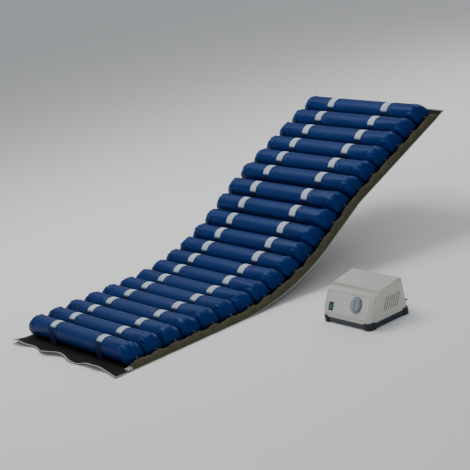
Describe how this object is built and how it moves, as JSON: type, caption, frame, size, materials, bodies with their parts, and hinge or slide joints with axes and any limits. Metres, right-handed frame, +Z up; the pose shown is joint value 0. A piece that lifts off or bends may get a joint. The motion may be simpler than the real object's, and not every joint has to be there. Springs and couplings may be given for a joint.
{
  "type": "pressure relief mattress",
  "caption": "Alternating-pressure mattress overlay of transverse air cells strapped to a base sheet, back raised, with its air pump.",
  "frame": {"origin": "middle of the mattress underside on its seat section, where it lies on the bed deck", "axes": "+X to the right edge with the air-line sleeve, +Y from the foot end to the head end, +Z up"},
  "size_m": [1.579, 1.982, 0.5974],
  "materials": {
    "cell_nylon": "soft sheen, coated nylon",
    "strap_webbing": "matte woven tape",
    "base_sheet": "matte coated nylon",
    "clear_plastic": "gloss",
    "case_abs": "fine texture",
    "tray_abs": "fine texture",
    "label": "satin",
    "dial": "satin",
    "rocker_green": "gloss",
    "black_plastic": "satin",
    "rubber": "matte",
    "iron": "laminated",
    "winding": "enamelled wire",
    "board_green": "satin"
  },
  "bodies": {
    "section_foot": {"base_panel_foot": "base_sheet", "strap_loops_foot": "strap_webbing", "air_cell_01": "cell_nylon", "air_cell_02": "cell_nylon", "hose_inlets": "clear_plastic"},
    "section_seat": {"base_panel_seat": "base_sheet", "strap_loops_seat": "strap_webbing", "air_cell_03": "cell_nylon", "air_cell_04": "cell_nylon", "air_cell_05": "cell_nylon", "air_cell_06": "cell_nylon"},
    "section_lumbar_1": {"base_panel_lumbar_1": "base_sheet", "strap_loops_lumbar_1": "strap_webbing", "air_cell_07": "cell_nylon"},
    "section_lumbar_2": {"base_panel_lumbar_2": "base_sheet", "strap_loops_lumbar_2": "strap_webbing", "air_cell_08": "cell_nylon"},
    "section_lumbar_3": {"base_panel_lumbar_3": "base_sheet", "strap_loops_lumbar_3": "strap_webbing", "air_cell_09": "cell_nylon"},
    "section_lumbar_4": {"base_panel_lumbar_4": "base_sheet", "strap_loops_lumbar_4": "strap_webbing", "air_cell_10": "cell_nylon"},
    "section_lumbar_5": {"base_panel_lumbar_5": "base_sheet", "strap_loops_lumbar_5": "strap_webbing", "air_cell_11": "cell_nylon"},
    "section_back": {"base_panel_back": "base_sheet", "strap_loops_back": "strap_webbing", "air_cell_12": "cell_nylon", "air_cell_13": "cell_nylon", "air_cell_14": "cell_nylon"},
    "section_head": {"base_panel_head": "base_sheet", "strap_loops_head": "strap_webbing", "air_cell_15": "cell_nylon", "air_cell_16": "cell_nylon", "air_cell_17": "cell_nylon", "air_cell_18": "cell_nylon", "air_cell_19": "cell_nylon", "air_cell_20": "cell_nylon"},
    "pump": {"pump_base_tray": "tray_abs", "pump_top_cover": "case_abs", "corner_bumpers": "rubber", "control_fascia": "label", "regulator_valve": "black_plastic", "rocker_frame": "black_plastic", "outlet_nozzles": "black_plastic", "cord_gland": "black_plastic", "laminated_core": "iron", "drive_coil": "winding", "bellows_pair": "rubber", "air_chambers": "black_plastic", "valve_motor": "iron", "circuit_board": "board_green"},
    "pressure_dial": {"pressure_dial": "dial"},
    "power_rocker": {"power_rocker": "rocker_green"},
    "bed_hook_left": {"bed_hook_left": "tray_abs"},
    "bed_hook_right": {"bed_hook_right": "tray_abs"},
    "swing_arm_left": {"swing_arm_left": "black_plastic"},
    "swing_arm_right": {"swing_arm_right": "black_plastic"},
    "valve_rotor": {"valve_rotor": "black_plastic"}
  },
  "joints": [
    {"name": "foot_raise", "type": "hinge", "parent": "section_seat", "child": "section_foot", "pos_m": [0, -0.2, 0.001], "axis": [-1, 0, 0], "range_deg": [0, 8]},
    {"name": "back_raise", "type": "hinge", "parent": "section_seat", "child": "section_lumbar_1", "pos_m": [0, 0.2, 0.001], "axis": [1, 0, 0], "range_deg": [-5.2, 2.8]},
    {"name": "lumbar_fold_2", "type": "hinge", "parent": "section_lumbar_1", "child": "section_lumbar_2", "pos_m": [0, 0.29959, 0.01006], "axis": [1, 0, 0], "range_deg": [-5.2, 2.8]},
    {"name": "lumbar_fold_3", "type": "hinge", "parent": "section_lumbar_2", "child": "section_lumbar_3", "pos_m": [0, 0.39795, 0.02812], "axis": [1, 0, 0], "range_deg": [-5.2, 2.8]},
    {"name": "lumbar_fold_4", "type": "hinge", "parent": "section_lumbar_3", "child": "section_lumbar_4", "pos_m": [0, 0.49426, 0.05501], "axis": [1, 0, 0], "range_deg": [-5.2, 2.8]},
    {"name": "lumbar_fold_5", "type": "hinge", "parent": "section_lumbar_4", "child": "section_lumbar_5", "pos_m": [0, 0.58774, 0.09052], "axis": [1, 0, 0], "range_deg": [-5.2, 2.8]},
    {"name": "back_fold", "type": "hinge", "parent": "section_lumbar_5", "child": "section_back", "pos_m": [0, 0.67762, 0.13436], "axis": [1, 0, 0], "range_deg": [-5.2, 2.8]},
    {"name": "head_fold", "type": "hinge", "parent": "section_back", "child": "section_head", "pos_m": [0, 0.93423, 0.28976], "axis": [1, 0, 0], "range_deg": [-4.2, 7.8]},
    {"name": "pump_lift", "type": "slide", "parent": "section_seat", "child": "pump", "axis": [0, 0, 1], "range_m": [0, 0.3]},
    {"name": "dial_turn", "type": "hinge", "parent": "pump", "child": "pressure_dial", "pos_m": [1.044, 0.37146, 0.09217], "axis": [0, -0.875, 0.4841], "range_deg": [-135, 135]},
    {"name": "power_rocker_tilt", "type": "hinge", "parent": "pump", "child": "power_rocker", "pos_m": [0.886, 0.36588, 0.06555], "axis": [1, 0, 0], "range_deg": [0, 10]},
    {"name": "bed_hook_left_swing", "type": "hinge", "parent": "pump", "child": "bed_hook_left", "pos_m": [0.915, 0.567, 0.115], "axis": [0, -1, 0], "range_deg": [0, 180]},
    {"name": "bed_hook_right_swing", "type": "hinge", "parent": "pump", "child": "bed_hook_right", "pos_m": [1.065, 0.567, 0.115], "axis": [0, 1, 0], "range_deg": [0, 180]},
    {"name": "swing_arm_left_beat", "type": "hinge", "parent": "pump", "child": "swing_arm_left", "pos_m": [0.94, 0.4815, 0.028], "axis": [0, 0, 1], "range_deg": [-1.5, 1.5], "stiffness_Nm_per_rad": 0.3},
    {"name": "swing_arm_right_beat", "type": "hinge", "parent": "pump", "child": "swing_arm_right", "pos_m": [1.06, 0.4815, 0.028], "axis": [0, 0, 1], "range_deg": [-1.5, 1.5], "stiffness_Nm_per_rad": 0.3},
    {"name": "valve_spin", "type": "hinge", "parent": "pump", "child": "valve_rotor", "pos_m": [1.087, 0.51, 0.027], "axis": [0, 0, 1], "continuous": true}
  ],
  "couplings": [
    {"joint": "lumbar_fold_2", "follows": "back_raise", "ratio": 1},
    {"joint": "lumbar_fold_3", "follows": "back_raise", "ratio": 1},
    {"joint": "lumbar_fold_4", "follows": "back_raise", "ratio": 1},
    {"joint": "lumbar_fold_5", "follows": "back_raise", "ratio": 1},
    {"joint": "back_fold", "follows": "back_raise", "ratio": 1},
    {"joint": "head_fold", "follows": "back_raise", "ratio": -1.5},
    {"joint": "swing_arm_right_beat", "follows": "swing_arm_left_beat", "ratio": -1}
  ]
}
